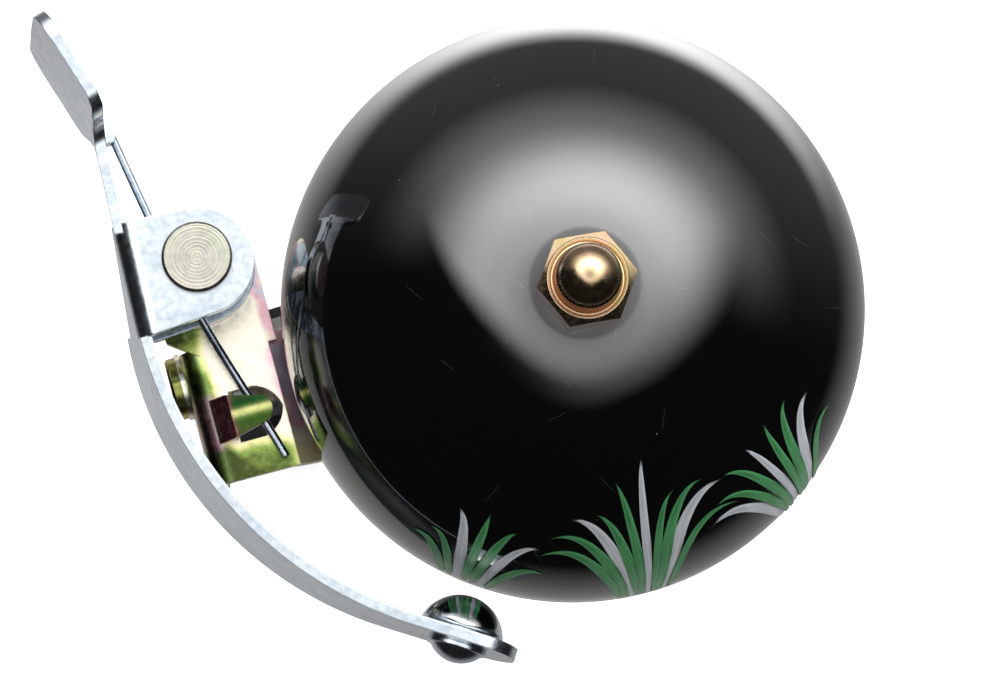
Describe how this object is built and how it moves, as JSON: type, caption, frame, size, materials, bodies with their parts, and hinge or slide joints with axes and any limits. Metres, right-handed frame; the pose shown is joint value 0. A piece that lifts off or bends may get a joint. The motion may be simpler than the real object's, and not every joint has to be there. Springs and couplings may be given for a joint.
{
  "type": "bicycle bell",
  "caption": "Lever-strike handlebar bell: painted metal dome on a centre post, thumb lever with a sprung hammer arm, stamped bracket and rubber-lined band clamp.",
  "frame": {"origin": "middle of the clamp's bore, on the handlebar's axis", "axes": "+Z parallel to the dome's axis, up to the cap nut; the striking lever and its pivot stand at -X; the thumb pad points to +Y and the hammer arm to -Y; the handlebar runs near Y, turned 15 degrees about Z"},
  "size_m": [0.0789, 0.0609, 0.0704],
  "materials": {
    "gloss_black_paint": "deep gloss black paint with brushed grass blades",
    "yellow_passivated_steel": "yellow passivated zinc plate, faintly iridescent",
    "zinc_plate": "bright blue-white zinc plate",
    "polished_steel": "mirror polished",
    "spring_steel": "bright drawn wire",
    "red_fibre": "pressed fibre",
    "black_rubber": "matt moulded rubber"
  },
  "bodies": {
    "bell_frame": {"dome": "gloss_black_paint", "cap_nut": "yellow_passivated_steel", "fibre_washer": "red_fibre", "centre_post": "yellow_passivated_steel", "post_spring_washer": "yellow_passivated_steel", "post_nut": "yellow_passivated_steel", "bracket": "yellow_passivated_steel", "pivot_rivet": "yellow_passivated_steel", "pivot_bush": "yellow_passivated_steel", "pivot_washer": "yellow_passivated_steel", "clamp_band": "zinc_plate", "rubber_liner": "black_rubber", "clamp_screw": "yellow_passivated_steel", "clamp_washer": "yellow_passivated_steel", "clamp_spring_washer": "yellow_passivated_steel", "clamp_nut": "yellow_passivated_steel", "spring_wire": "spring_steel"},
    "striking_lever": {"lever": "zinc_plate", "hammer_button": "polished_steel", "hammer_rivet": "zinc_plate"}
  },
  "joints": [
    {"name": "lever_pivot", "type": "hinge", "parent": "bell_frame", "child": "striking_lever", "pos_m": [-0.01327, 0.00689, 0.021], "axis": [0, 0, 1], "range_deg": [-16, 1.8], "stiffness_Nm_per_rad": 0.4, "deforming": ["spring_wire"]}
  ]
}
